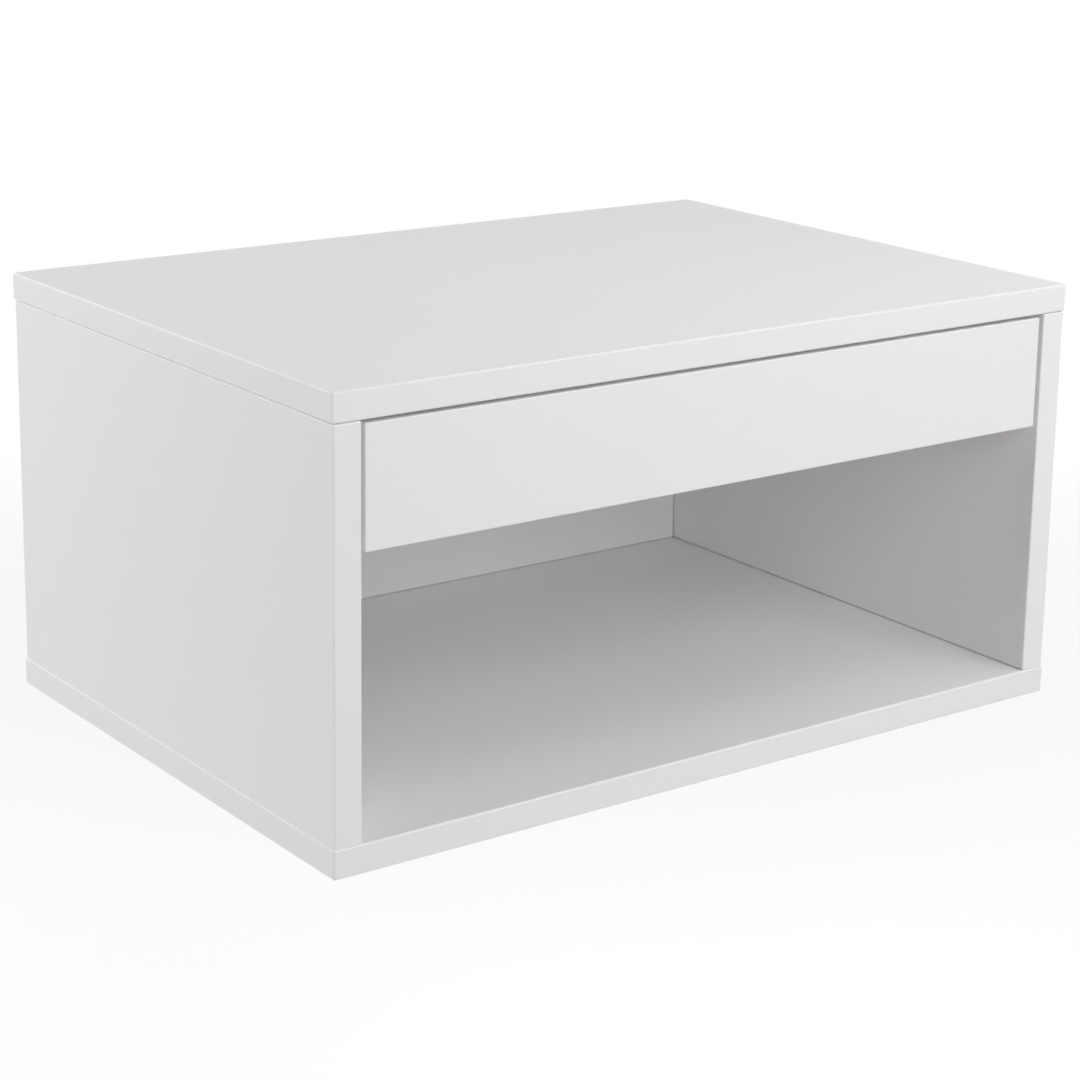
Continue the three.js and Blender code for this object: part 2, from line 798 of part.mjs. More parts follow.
function drawerBottom() {
  const inGroove = grooveDepth - fit;
  const sizeX = (boxInnerX + inGroove) * 2;
  const sizeY = boxLength - boxBoard * 2 + inGroove * 2;
  const centre = at(0, (boxFrontY + boxRearY) / 2, drawerBottomZ + drawerBottomThickness / 2);
  const sheet = new THREE.BoxGeometry(sizeX, sizeY, drawerBottomThickness);
  return makeMesh('drawer_bottom', sheet, liner, centre);
}

function frontScrews() {
  const group = new THREE.Group();
  const geometry = panScrew(frontScrew, boxBoard + seat * 2 + frontScrew.inFront);
  for (const [side, sign] of Object.entries(sides)) {
    const head = at(sign * frontScrewX, boxFrontY + boxBoard + seat, frontScrewZ);
    group.add(fastener(`${side}_front_screw`, geometry, zinc, head, at(0, -1, 0)));
  }
  return group;
}

// Assembly
const cabinet = new THREE.Group();
cabinet.add(topPanel(), bottomPanel(), backPanel());
const drawer = new THREE.Group();
drawer.add(drawerFront(), drawerInnerFront(), drawerBack(), drawerBottom(), frontScrews());
const cages = new THREE.Group();
for (const side of Object.keys(sides)) {
  cabinet.add(sidePanel(side), topJoints(side), bottomJoints(side), dowels(side));
  cabinet.add(hangerPlate(side), cabinetRail(side));
  drawer.add(drawerSide(side), drawerRail(side));
  cages.add(ballCage(side));
}

const nightstand = new THREE.Group();
nightstand.add(cabinet, drawer, cages);

export default nightstand;
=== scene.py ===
"""Looks of the floating nightstand: one inset drawer over an open shelf, in white satin lacquer.

Metres, +Z up, the front faces -Y, and the origin is under the middle of the bottom board. The
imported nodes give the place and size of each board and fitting, and the values below the rest.
"""

import bpy
import numpy as np
from mathutils import Matrix, Vector


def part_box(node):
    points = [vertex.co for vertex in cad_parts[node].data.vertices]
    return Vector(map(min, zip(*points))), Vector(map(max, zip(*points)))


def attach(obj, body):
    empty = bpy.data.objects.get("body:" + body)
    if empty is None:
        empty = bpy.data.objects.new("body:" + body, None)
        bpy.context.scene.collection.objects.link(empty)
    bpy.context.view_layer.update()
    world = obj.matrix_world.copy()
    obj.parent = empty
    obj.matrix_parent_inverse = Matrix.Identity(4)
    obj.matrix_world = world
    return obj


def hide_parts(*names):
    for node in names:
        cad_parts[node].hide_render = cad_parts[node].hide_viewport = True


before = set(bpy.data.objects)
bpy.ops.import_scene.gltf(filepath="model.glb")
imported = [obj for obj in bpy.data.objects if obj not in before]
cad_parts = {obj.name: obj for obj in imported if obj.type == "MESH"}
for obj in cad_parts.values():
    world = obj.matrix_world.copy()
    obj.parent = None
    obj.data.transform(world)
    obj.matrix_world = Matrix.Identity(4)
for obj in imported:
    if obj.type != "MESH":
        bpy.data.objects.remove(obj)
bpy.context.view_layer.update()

MM = 0.001
X, Y, Z = 0, 1, 2
TINY = 1e-12
SIGNS = {"left": -1, "right": 1}
ENDS = ("front", "rear")
LEVELS = ("lower", "upper")

# Edges
BOARD_EASE = 1.3 * MM
SIDE_EASE = 0.9 * MM
BACK_EASE = 0.4 * MM
BOX_EASE = 1.0 * MM
METAL_EASE = 0.2 * MM
EASE_STEPS = 4
FIT = 0.3 * MM
JOINT = 0.16 * MM
FOOT_EASE = 0.2 * MM
FOOT_LIFT = 0.4 * MM
FOOT_TAPER = 5.0 * MM
BACK_SIDE_JOINT = 0.6 * MM
BACK_FOOT_JOINT = 0.25 * MM
MERGE_STEP = 0.0002 * MM
LINE_GAP = 0.01 * MM

# Round pieces and holes
ROUND_POINTS = 64
BALL_POINTS = 20
ARC_STEPS = 6
HOLE_STEPS = 12
HOLE_MARGIN = 1.1

# Keyhole plates, and the recesses and pockets behind them
PLATE_CORNER = 2.0 * MM
PLATE_SIDE = 1.5 * MM
RECESS_MARGIN = 2.5 * MM
RECESS_STEPS = 20
MOUTH_RADIUS = 5.5 * MM
SLOT_RADIUS = 2.7 * MM
MOUTH_DROP = 8.0 * MM
SLOT_RISE = 6.0 * MM
KEYHOLE_BELOW = 7.5 * MM
KEYHOLE_ABOVE = 5.0 * MM
KEYHOLE_STEPS = 26
SCREW_HOLE_REACH = 5.0 * MM
POCKET_RADIUS = 7.0 * MM
POCKET_DEPTH = 8.0 * MM

# Cams, caps and screws, with the heights of the screws' heads
CAM_RIM = 0.4 * MM
CAM_SLOT_REACH = 4.5 * MM
CAM_SLOT_HALF = 0.8 * MM
CAM_SLOT_DEPTH = 2.2 * MM
CAP_BEVEL = 0.4 * MM
CAP_BEVEL_STEPS = 5
CAP_THICKNESS = 1.6 * MM
CAP_PIN_RADIUS = 1.6 * MM
CAP_RECESS_DEPTH = 2.0 * MM
SHANK_RADIUS = 1.7 * MM
FRONT_SHANK_RADIUS = 2.0 * MM
RAIL_HEAD = 1.6 * MM
FRONT_HEAD = 2.4 * MM
PLATE_HEAD = 1.7 * MM
SCREW_TIP = 2.5 * MM

# Shares of a screw head: its cross recess, and the round of a pan head
CROSS_REACH = 0.62
CROSS_HALF = 0.24
CROSS_DEPTH = 0.6
CROSS_TAPER = 0.72
PAN_RIM = 0.35
PAN_FLAT = 0.66
PAN_CROSS_MARGIN = 0.08

# Runners, with sheet thicknesses and the places of the balls
RAIL_SHEET = 1.2 * MM
RAIL_LIP = 2.6 * MM
RAIL_BEND = 1.3 * MM
CAGE_SHEET = 0.7 * MM
CAGE_BEND = 0.8 * MM
CAGE_REACH = 4.7 * MM
BALL_RADIUS = 1.6 * MM
BALL_PITCH = 11.0 * MM
BALLS_PER_ROW = 6
BALL_INSET = 5.4 * MM

# Plywood and bottom of the drawer box
PLY_LAYERS = 9
PLY_VENEER_SHARE = 0.35
PLY_LAYER_BLUR = 0.12
STREAK_STRETCH = 0.06
FLAME_STRETCH = 0.3
WEAVE_PITCH = 0.9 * MM


def unit(vectors):
    """The vectors at length one."""
    length = np.linalg.norm(vectors, axis=-1, keepdims=True)
    return vectors / np.maximum(length, TINY)


def span(node):
    """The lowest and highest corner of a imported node."""
    low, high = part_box(node)
    return np.array(low), np.array(high)


class Shell:
    """A closed surface gathered from patches, each a grid of points with a normal at every point.

    Points of patches that meet are merged when the mesh is made. Each corner of a triangle keeps
    the normal of its own patch, so that flat faces stay flat and rounds stay smooth.
    """

    def __init__(self):
        self.points = []
        self.normals = []
        self.corners = []
        self.count = 0

    def add(self, points, normals, kept=None):
        """Adds a grid. Each cell becomes two triangles, and kept is false where a cell is left out."""
        rows, columns = points.shape[:2]
        index = np.arange(rows * columns).reshape(rows, columns) + self.count
        a, b = index[:-1, :-1], index[1:, :-1]
        c, d = index[1:, 1:], index[:-1, 1:]
        cells = np.stack([np.stack([a, b, c], -1), np.stack([a, c, d], -1)], 2)
        self.corners.append(cells[kept if kept is not None else ...].reshape(-1, 3))
        self.points.append(points.reshape(-1, 3))
        self.normals.append(np.broadcast_to(normals, points.shape).reshape(-1, 3))
        self.count += rows * columns

    def loft(self, loops, smooth=False):
        """A surface through closed loops of equally many points.

        Its normal is the direction along a loop crossed with the direction to the next loop.
        Each band between two loops is a patch, or with smooth all bands are one.
        """
        loops = np.asarray(loops)
        along = np.roll(loops, -1, 1) - np.roll(loops, 1, 1)
        bands = unit(np.cross(along[:-1] + along[1:], loops[1:] - loops[:-1]))
        around = np.concatenate([loops, loops[:, :1]], 1)
        if smooth:
            between = unit(bands[:-1] + bands[1:])
            normals = np.concatenate([bands[:1], between, bands[-1:]])
            self.add(around, np.concatenate([normals, normals[:, :1]], 1))
            return
        for low, high, band in zip(around[:-1], around[1:], bands):
            self.add(np.stack([low, high]), np.concatenate([band, band[:1]]))

    def make(self, name, material):
        """The object: points merged, empty triangles left out, and every triangle facing outwards."""
        points = np.concatenate(self.points)
        normals = np.concatenate(self.normals)
        corners = np.concatenate(self.corners)
        places = np.round(points / MERGE_STEP).astype(np.int64)
        _, first, merged = np.unique(places, axis=0, return_index=True, return_inverse=True)
        merged = merged.reshape(-1)
        faces = merged[corners]
        whole = (faces != np.roll(faces, 1, 1)).all(1)
        corners, faces = corners[whole], faces[whole]
        a, b, c = (points[first[faces[:, i]]] for i in range(3))
        facing = (np.cross(b - a, c - a) * normals[corners].sum(1)).sum(1)
        corners[facing < 0] = corners[facing < 0][:, ::-1]
        faces[facing < 0] = faces[facing < 0][:, ::-1]
        used, faces = np.unique(faces, return_inverse=True)
        faces = faces.reshape(-1, 3)
        mesh = bpy.data.meshes.new(name)
        mesh.from_pydata(points[first[used]].tolist(), [], faces.tolist())
        mesh.polygons.foreach_set("use_smooth", np.ones(len(faces), bool))
        mesh.normals_split_custom_set(normals[corners].reshape(-1, 3).tolist())
        mesh.materials.append(material)
        piece = bpy.data.objects.new(name, mesh)
        bpy.context.scene.collection.objects.link(piece)
        return piece


class Opening:
    """A hole or recess in one face of a board, inside a rectangle of that face.

    inner(rim) turns the rectangle's rim, a closed loop of points, into the loops that follow it:
    down to a point for a blind hole, or to the rim on the other face for a through hole.
    """

    def __init__(self, axis, high_side, low, high, steps, inner, through=False):
        self.axis = axis
        self.high_side = high_side
        self.low = low
        self.high = high
        self.steps = steps
        self.inner = inner
        self.through = through

    def lines(self, axis):
        """The grid lines that this opening needs in a board."""
        if axis == self.axis:
            return np.array([])
        return np.linspace(self.low[axis], self.high[axis], self.steps + 1)


def ease_steps(ease):
    """How far from a sharp edge the grid lines stand over an eased one.

    That is the ease times one less the tangent of even angles, from 45 degrees to none, which
    puts them evenly round the quarter circle.
    """
    return ease * (1 - np.tan(np.linspace(np.pi / 4, 0, EASE_STEPS + 1)))


def foot_lift(x, inner_face):
    """How far the foot of a side board lifts: most at its inner face, and nothing past the taper.

    It leaves the dark joint line that shows on the shelf, and no line outside.
    """
    return FOOT_LIFT * np.maximum(1 - np.abs(x - inner_face) / FOOT_TAPER, 0)


def eased(points, low, high, low_ease, high_ease):
    """Points of a sharp box moved onto the eased one, and their normals.

    Each is pulled in to the box that is smaller by the ease on every side, then pushed out again
    by the ease in the direction that it came from. Where the eases of two sides differ, their
    edge is a quarter of an ellipse: a circle in lengths counted in eases.
    """
    core = np.clip(points, low + low_ease, high - high_ease)
    ease = np.where(points < core, low_ease, high_ease)
    outward = unit((points - core) / ease)
    return core + ease * outward, unit(outward / ease)


def rim_of(grid, rows, columns):
    """The closed loop of grid points round the cells between two rows and two columns."""
    first, last = rows
    left, right = columns
    return np.concatenate([
        grid[first:last, left],
        grid[last, left:right],
        grid[last:first:-1, right],
        grid[first, right:left:-1],
    ])


def board(shell, low, high, ease, openings=(), inner_face=None):
    """A board with all its edges eased.

    Its six faces are grids on a sharp box, moved by eased(). They share one set of lines for each
    direction, so that they meet point for point, and an opening takes out its cells. A side
    board, which gives its inner face, has a tighter foot that lifts as foot_lift() says.
    """
    low_ease = np.full(3, ease)
    extra = [[], [], []]
    if inner_face is not None:
        low_ease[Z] = FOOT_EASE
        extra[X] = [inner_face + FOOT_TAPER * np.sign((low + high)[X] / 2 - inner_face)]
        extra[Z] = low[Z] + FOOT_LIFT + ease_steps(FOOT_EASE)
    lines = []
    for k in (X, Y, Z):
        ends = [low[k] + ease_steps(low_ease[k]), high[k] - ease_steps(ease)]
        line = np.sort(np.concatenate([*ends, extra[k], *(o.lines(k) for o in openings)]))
        lines.append(line[np.diff(line, prepend=-np.inf) > LINE_GAP])
    for k in (X, Y, Z):
        i, j = (k + 1) % 3, (k + 2) % 3
        for high_side, level in ((False, low[k]), (True, high[k])):
            grid = np.empty((len(lines[i]), len(lines[j]), 3))
            grid[..., i], grid[..., j] = np.meshgrid(lines[i], lines[j], indexing="ij")
            grid[..., k] = level
            kept = np.ones((len(lines[i]) - 1, len(lines[j]) - 1), bool)
            for o in openings:
                if o.axis != k or (o.high_side != high_side and not o.through):
                    continue
                rows = [np.abs(lines[i] - edge).argmin() for edge in (o.low[i], o.high[i])]
                columns = [np.abs(lines[j] - edge).argmin() for edge in (o.low[j], o.high[j])]
                kept[rows[0]:rows[1], columns[0]:columns[1]] = False
                if o.high_side == high_side:
                    rim = rim_of(grid, rows, columns)
                    rim = rim if high_side else rim[::-1]
                    shell.loft(np.stack([rim, *o.inner(rim)]))
            start = np.broadcast_to(low, grid.shape).copy()
            if inner_face is not None:
                start[..., Z] += foot_lift(grid[..., X], inner_face)
            points, normals = eased(grid, start, high, low_ease, ease)
            shell.add(points, normals, kept)


def outline(rim, core_low, core_high, radius, axis, level):
    """A rounded loop: rim points pulled in to a core, then pushed back out by the radius.

    The core is a point for a circle, a line for a slot, and a rectangle for a rounded one.
    """
    core = np.clip(rim, core_low, core_high)
    outward = rim - core
    outward[:, axis] = 0
    loop = core + radius * unit(outward)
    loop[:, axis] = level
    return loop


def at_level(loop, axis, level):
    """The loop moved along an axis to a level."""
    moved = loop.copy()
    moved[:, axis] = level
    return moved


def middle(loop, point):
    """A loop of the same length with all its points in one place, which closes a surface."""
    return np.broadcast_to(point, loop.shape)


def round_hole(axis, high_side, centre, profile):
    """A blind round hole: circles for each (radius, depth) of its profile, then its middle."""
    reach = np.full(3, profile[0][0] * HOLE_MARGIN)
    into = -1 if high_side else 1

    def inner(rim):
        loops = []
        end = centre.copy()
        for radius, depth in profile:
            end[axis] = centre[axis] + into * depth
            loops.append(outline(rim, centre, centre, radius, axis, end[axis]))
        return [*loops, middle(rim, end)]

    return Opening(axis, high_side, centre - reach, centre + reach, HOLE_STEPS, inner)


def frame_of(axis):
    """Two directions across an axis, so that the first crossed with the second gives the axis."""
    axis = np.asarray(axis, float)
    across = unit(np.cross([0.0, 0.0, 1.0] if abs(axis[Z]) < 0.5 else [0.0, 1.0, 0.0], axis))
    return across, np.cross(axis, across), axis


def circles(profile, centre, axis, share=None):
    """Loops round an axis, one for each (radius, height).

    share gives what part of the radius there is at each angle, where a loop isn't round.
    """
    across, up, axis = frame_of(axis)
    angle = np.linspace(0, 2 * np.pi, ROUND_POINTS, endpoint=False)
    share = np.ones(ROUND_POINTS) if share is None else share(angle)
    around = (np.cos(angle)[:, None] * across + np.sin(angle)[:, None] * up) * share[:, None]
    return np.stack([centre + radius * around + height * axis for radius, height in profile])


def cross_share(half):
    """The outline of a cross as a share of its reach at each angle.

    Its ends are flat, and its sides stand half a slot from the middle line of each arm.
    """

    def share(angle):
        turn = np.abs((angle + np.pi / 4) % (np.pi / 2) - np.pi / 4)
        return np.minimum(1 / np.cos(turn), half / np.maximum(np.sin(turn), TINY))

    return share


def recess(face_radius, reach, half, depth, centre, axis, height):
    """The loops of a cross recess: the round face's rim, the cross, its tapered walls, its middle."""
    top = circles([(face_radius, height)], centre, axis)
    walls = [(reach, height), (reach * CROSS_TAPER, height - depth)]
    cross = circles(walls, centre, axis, cross_share(half / reach))
    return np.concatenate([top, cross, circles([(0, height - depth)], centre, axis)])


def flat_screw(shell, head_radius, head_height, shank_radius, length, centre, axis):
    """A countersunk screw whose head's face is at the centre and looks along the axis."""
    profile = [
        (0, -length),
        (shank_radius, SCREW_TIP - length),
        (shank_radius, -head_height),
        (head_radius, -METAL_EASE),
        (head_radius, 0),
    ]
    shell.loft(circles(profile, centre, axis))
    reach, half = head_radius * CROSS_REACH, head_radius * CROSS_HALF
    shell.loft(recess(head_radius, reach, half, head_height * CROSS_DEPTH, centre, axis, 0))


def pan_screw(shell, head_radius, head_height, shank_radius, length, centre, axis):
    """A pan-head screw whose head sits on the centre.

    From its upright rim the head rounds in along a quarter of an ellipse to its flat top.
    """
    profile = [(0, -length), (shank_radius, SCREW_TIP - length), (shank_radius, 0), (head_radius, 0)]
    shell.loft(circles([*profile, (head_radius, head_height * PAN_RIM)], centre, axis))
    turn = np.linspace(0, np.pi / 2, ARC_STEPS + 1)
    radii = head_radius * (PAN_FLAT + (1 - PAN_FLAT) * np.cos(turn))
    heights = head_height * (PAN_RIM + (1 - PAN_RIM) * np.sin(turn))
    shell.loft(circles(list(zip(radii, heights)), centre, axis), smooth=True)
    reach, half = head_radius * (PAN_FLAT - PAN_CROSS_MARGIN), head_radius * CROSS_HALF
    shell.loft(recess(radii[-1], reach, half, head_height * CROSS_DEPTH, centre, axis, head_height))


def bent_path(corners, bend):
    """Points of a path with its square corners rounded by an arc, and its direction at each point."""
    corners = np.asarray(corners, float)
    legs = unit(np.diff(corners, axis=0))
    points, headings = [corners[:1]], [legs[:1]]
    turn = np.linspace(0, np.pi / 2, ARC_STEPS + 1)[:, None]
    for corner, before, after in zip(corners[1:-1], legs[:-1], legs[1:]):
        centre = corner + bend * (after - before)
        points.append(centre + bend * (before * np.sin(turn) - after * np.cos(turn)))
        headings.append(before * np.cos(turn) + after * np.sin(turn))
    points.append(corners[-1:])
    headings.append(legs[-1:])
    return np.concatenate(points), np.concatenate(headings)


def bent_strip(shell, corners, sheet, bend, place, y_low, y_high):
    """A strip of sheet metal bent along a path across x and z, and carried from y_low to y_high.

    place turns the path's points or directions into the row frame's x and z.
    """
    path, heading = bent_path(corners, bend)
    beside = np.stack([-heading[:, 1], heading[:, 0]], 1)
    lengthways = np.array([y_low, y_high])

    def grid(edges):
        flat = place(np.stack(edges, 1), True)
        return np.stack([flat[..., 0], np.broadcast_to(lengthways, flat.shape[:2]), flat[..., 1]], -1)

    def level(vectors):
        turned = place(vectors, False)
        return np.stack([turned[:, 0], np.zeros(len(turned)), turned[:, 1]], 1)[:, None]

    outer, inner = path + beside * sheet / 2, path - beside * sheet / 2
    shell.add(grid([outer, outer]), level(beside))
    shell.add(grid([inner, inner]), level(-beside))
    for end, sign in ((0, -1), (-1, 1)):
        edge = np.stack([outer[end], inner[end]])
        shell.add(grid([edge, edge]), level(np.stack([heading[end] * sign] * 2)))
    for y, sign in ((y_low, -1.0), (y_high, 1.0)):
        cap = grid([outer, inner])
        cap[..., 1] = y
        shell.add(cap, np.array([0.0, sign, 0.0]))


class Value:
    """A number or colour that varies over a surface: one output of a node.

    Python's operators on it add Math nodes, whichever side of them it stands on.
    """

    def __init__(self, finish, socket):
        self.finish = finish
        self.socket = socket

    def maths(self, operation, *values):
        """A Math node's output, from values or numbers."""
        return self.finish.node("ShaderNodeMath", {"operation": operation}, dict(enumerate(values)))

    def __add__(self, other):
        return self.maths("ADD", self, other)

    def __radd__(self, other):
        return self.maths("ADD", other, self)

    def __sub__(self, other):
        return self.maths("SUBTRACT", self, other)

    def __rsub__(self, other):
        return self.maths("SUBTRACT", other, self)

    def __mul__(self, other):
        return self.maths("MULTIPLY", self, other)

    def __rmul__(self, other):
        return self.maths("MULTIPLY", other, self)

    def __abs__(self):
        return self.maths("ABSOLUTE", self)

    def sine(self):
        return self.maths("SINE", self)


class Finish:
    """The nodes of a material, or of the world."""

    def __init__(self, owner):
        owner.use_nodes = True
        self.owner = owner
        self.tree = owner.node_tree
        self.tree.nodes.clear()

    def node(self, kind, settings, sockets, output=0):
        """Adds a node: its settings first, then the values or links of its sockets. Gives one output."""
        node = self.tree.nodes.new(kind)
        for name, value in settings.items():
            setattr(node, name, value)
        for name, value in sockets.items():
            if isinstance(value, Value):
                self.tree.links.new(value.socket, node.inputs[name])
            else:
                node.inputs[name].default_value = value
        return Value(self, node.outputs[output]) if node.outputs else None

    def place(self, scale=(1, 1, 1)):
        """Where a point is on the part, stretched by a scale for each direction."""
        where = self.node("ShaderNodeTexCoord", {}, {}, "Object")
        if scale == (1, 1, 1):
            return where
        return self.node("ShaderNodeMapping", {}, {"Vector": where, "Scale": scale})

    def noise(self, size, detail=2.0, roughness=0.5, stretch=(1, 1, 1)):
        """Cloudy noise from 0 to 1 whose features are about as large as the size, in metres."""
        sockets = {"Vector": self.place(stretch), "Scale": 1 / size, "Detail": detail}
        return self.node("ShaderNodeTexNoise", {}, {**sockets, "Roughness": roughness})

    def cells(self, size):
        """Cells about as large as the size, each with a chance colour of its own."""
        sockets = {"Vector": self.place(), "Scale": 1 / size}
        return self.node("ShaderNodeTexVoronoi", {}, sockets, "Color")

    def spread(self, value, low, high, to_low, to_high):
        """A value between low and high moved to lie between two others, and held there beyond them."""
        ends = {"From Min": low, "From Max": high, "To Min": to_low, "To Max": to_high}
        return self.node("ShaderNodeMapRange", {"clamp": True}, {"Value": value, **ends})

    def blend(self, share, first, second):
        """The first colour where the share is 0 and the second where it is 1."""
        first, second = (c if isinstance(c, Value) else (*c, 1) for c in (first, second))
        return self.node("ShaderNodeMix", {"data_type": "RGBA"}, {0: share, 6: first, 7: second}, 2)

    def bump(self, height, depth):
        """A normal that leans as a relief of that depth would make it."""
        sockets = {"Height": height, "Distance": depth, "Strength": 1.0}
        return self.node("ShaderNodeBump", {}, sockets)

    def surface(self, **sockets):
        """Ends the material in a Principled surface, with underscores for spaces in socket names."""
        named = {name.replace("_", " "): value for name, value in sockets.items()}
        shader = self.node("ShaderNodeBsdfPrincipled", {}, named)
        self.node("ShaderNodeOutputMaterial", {}, {"Surface": shader})
        return self.owner


def finish(name):
    """A new material of that name."""
    return Finish(bpy.data.materials.new(name))


def white_lacquer():
    """Sprayed satin lacquer: a fine pebbled skin, with a sheen that varies a little over it."""
    f = finish("white_lacquer")
    cloud = f.noise(90 * MM, detail=3)
    haze = f.noise(14 * MM, detail=4)
    pebble = f.noise(2.2 * MM, detail=1) + f.noise(0.6 * MM, detail=1) * 0.3
    return f.surface(
        Base_Color=f.blend(cloud, (0.910, 0.912, 0.918), (0.921, 0.922, 0.927)),
        Roughness=f.spread(cloud * 0.6 + haze * 0.4, 0.3, 0.7, 0.285, 0.34),
        Specular_IOR_Level=0.5,
        Normal=f.bump(pebble, 0.004 * MM),
    )


def birch_plywood(name, thickness_axis, start, thickness, grain_axis):
    """Birch plywood under clear matt lacquer.

    Its layers are bands across the thickness, counted from where the board starts: even ones
    show long grain, odd ones the darker ends of the wood.
    """
    f = finish(name)
    axes = f.node("ShaderNodeSeparateXYZ", {}, {"Vector": f.place()}, "XYZ"[thickness_axis])
    layer = thickness / (PLY_LAYERS - 1 + 2 * (1 - PLY_VENEER_SHARE))
    depth = (abs(axes) if thickness_axis == X else axes) - start
    wave = ((depth * (1 / layer) + PLY_VENEER_SHARE) * np.pi).sine()
    ends = f.spread(wave, -PLY_LAYER_BLUR, PLY_LAYER_BLUR, 1, 0)
    along, wide = [1, 1, 1], [1, 1, 1]
    along[grain_axis] = STREAK_STRETCH
    wide[grain_axis] = FLAME_STRETCH
    streaks = f.noise(2.6 * MM, detail=4, roughness=0.6, stretch=along)
    flame = f.noise(26 * MM, detail=2, stretch=wide)
    pores = f.noise(0.5 * MM, detail=2, stretch=along)
    face = f.blend(streaks * 0.55 + flame * 0.45, (0.76, 0.60, 0.40), (0.60, 0.43, 0.255))
    specks = f.noise(0.7 * MM, detail=3, roughness=0.7)
    end_grain = f.blend(specks, (0.52, 0.36, 0.20), (0.30, 0.19, 0.10))
    return f.surface(
        Base_Color=f.blend(ends, face, end_grain),
        Roughness=f.spread(streaks + ends * 0.4, 0.3, 1.0, 0.42, 0.62),
        Normal=f.bump(pores * 0.6 + streaks * 0.4 - ends * 0.5, 0.03 * MM),
    )


def liner_board():
    """Hardboard faced in matt off-white: a fine woven print and a little dust."""
    f = finish("liner_board")
    where = f.place()
    across = f.node("ShaderNodeSeparateXYZ", {}, {"Vector": where}, "X")
    along = f.node("ShaderNodeSeparateXYZ", {}, {"Vector": where}, "Y")
    waves = np.pi / WEAVE_PITCH
    weave = f.spread((across * waves).sine() * (along * waves).sine(), -1, 1, 0, 1)
    mottle = f.noise(5 * MM, detail=4, roughness=0.6)
    return f.surface(
        Base_Color=f.blend(mottle * 0.7 + weave * 0.3, (0.845, 0.845, 0.835), (0.775, 0.775, 0.765)),
        Roughness=f.spread(mottle, 0.3, 0.7, 0.48, 0.62),
        Normal=f.bump(weave, 0.02 * MM),
    )


def zinc_plated_steel():
    """Zinc plating: a cool spangle, drawing marks along the metal and a slightly uneven shine."""
    f = finish("zinc_plated_steel")
    spangle = f.node("ShaderNodeSeparateXYZ", {}, {"Vector": f.cells(3.5 * MM)}, "X")
    marks = f.noise(0.5 * MM, detail=3, stretch=(1, 0.03, 1))
    cloud = f.noise(12 * MM, detail=3)
    return f.surface(
        Base_Color=f.blend(spangle * 0.5 + cloud * 0.5, (0.56, 0.575, 0.60), (0.70, 0.71, 0.725)),
        Metallic=1.0,
        Roughness=f.spread(marks * 0.5 + spangle * 0.25 + cloud * 0.25, 0.25, 0.75, 0.29, 0.44),
        Normal=f.bump(marks, 0.006 * MM),
    )


def cast_zinc():
    """Die-cast zinc: dull, with a sandy skin."""
    f = finish("cast_zinc")
    sand = f.noise(0.35 * MM, detail=3, roughness=0.7)
    cloud = f.noise(4 * MM, detail=3)
    return f.surface(
        Base_Color=f.blend(cloud, (0.42, 0.425, 0.43), (0.54, 0.54, 0.545)),
        Metallic=1.0,
        Roughness=f.spread(sand * 0.5 + cloud * 0.5, 0.3, 0.7, 0.42, 0.6),
        Normal=f.bump(sand, 0.02 * MM),
    )


def ball_steel():
    """Hard polished steel with a film of grease."""
    f = finish("ball_steel")
    film = f.noise(1.2 * MM, detail=2)
    return f.surface(
        Base_Color=f.blend(film, (0.62, 0.62, 0.63), (0.72, 0.72, 0.73)),
        Metallic=1.0,
        Roughness=f.spread(film, 0.3, 0.7, 0.1, 0.22),
    )


def beech():
    """Turned beech: fine flecks along the dowel."""
    f = finish("beech")
    flecks = f.noise(0.6 * MM, detail=4, roughness=0.65)
    return f.surface(
        Base_Color=f.blend(flecks, (0.64, 0.44, 0.25), (0.50, 0.32, 0.17)),
        Roughness=f.spread(flecks, 0.3, 0.7, 0.55, 0.7),
        Normal=f.bump(flecks, 0.03 * MM),
    )


def cap_plastic():
    """Moulded white plastic with a fine spark-eroded texture."""
    f = finish("cap_plastic")
    grain = f.noise(0.25 * MM, detail=2)
    cloud = f.noise(6 * MM)
    return f.surface(
        Base_Color=f.blend(cloud, (0.79, 0.79, 0.79), (0.82, 0.82, 0.82)),
        Roughness=f.spread(grain, 0.3, 0.7, 0.38, 0.5),
        Normal=f.bump(grain, 0.01 * MM),
    )


def dress(shell, name, material, slot, body, *nodes):
    """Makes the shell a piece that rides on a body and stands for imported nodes."""
    piece = shell.make(name, material)
    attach(piece, body)
    if nodes:
        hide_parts(*nodes)


def plain_board(name, node, ease, material, slot, body):
    """A board without openings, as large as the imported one."""
    shell = Shell()
    board(shell, *span(node), ease)
    dress(shell, name, material, slot, body, node)


def bottom_board(material):
    """The bottom board, with a recess in its underside for each screw cap."""
    low, high = span("bottom_panel")
    openings = []
    for side in SIGNS:
        for end in ENDS:
            cap_low, cap_high = span(f"{side}_{end}_floor_cap")
            centre = (cap_low + cap_high) / 2
            centre[Z] = low[Z]
            radius = (cap_high[X] - cap_low[X]) / 2 + FIT
            openings.append(round_hole(Z, False, centre, [(radius, 0), (radius, CAP_RECESS_DEPTH)]))
    shell = Shell()
    board(shell, low, high, BOARD_EASE, openings)
    dress(shell, "bottom_board", material, "white_lacquer", "cabinet", "bottom_panel")


